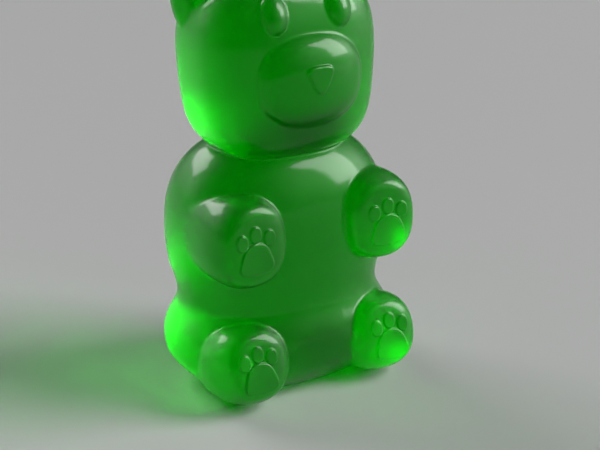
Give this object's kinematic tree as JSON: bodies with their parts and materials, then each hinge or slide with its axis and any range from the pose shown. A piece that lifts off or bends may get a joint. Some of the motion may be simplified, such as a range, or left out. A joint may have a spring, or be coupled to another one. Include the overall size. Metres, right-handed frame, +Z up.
{
  "type": "gummy bear",
  "caption": "Translucent green gummy bear sitting up, with a big rounded head, dished round ears, a broad snout and stubby limbs held out in front.",
  "frame": {"origin": "middle of the bounding box in X and Y, on the flat that the bear sits on", "axes": "+Z up along the bear's height, the face and paws towards -Y, the bear's left side towards +X"},
  "size_m": [0.0118, 0.0098, 0.022],
  "materials": {
    "jelly": "glossy, slightly frosted translucent green jelly, dark where it is thick and bright where light comes through"
  },
  "bodies": {
    "root": {"gummy_bear": "jelly"}
  },
  "joints": []
}
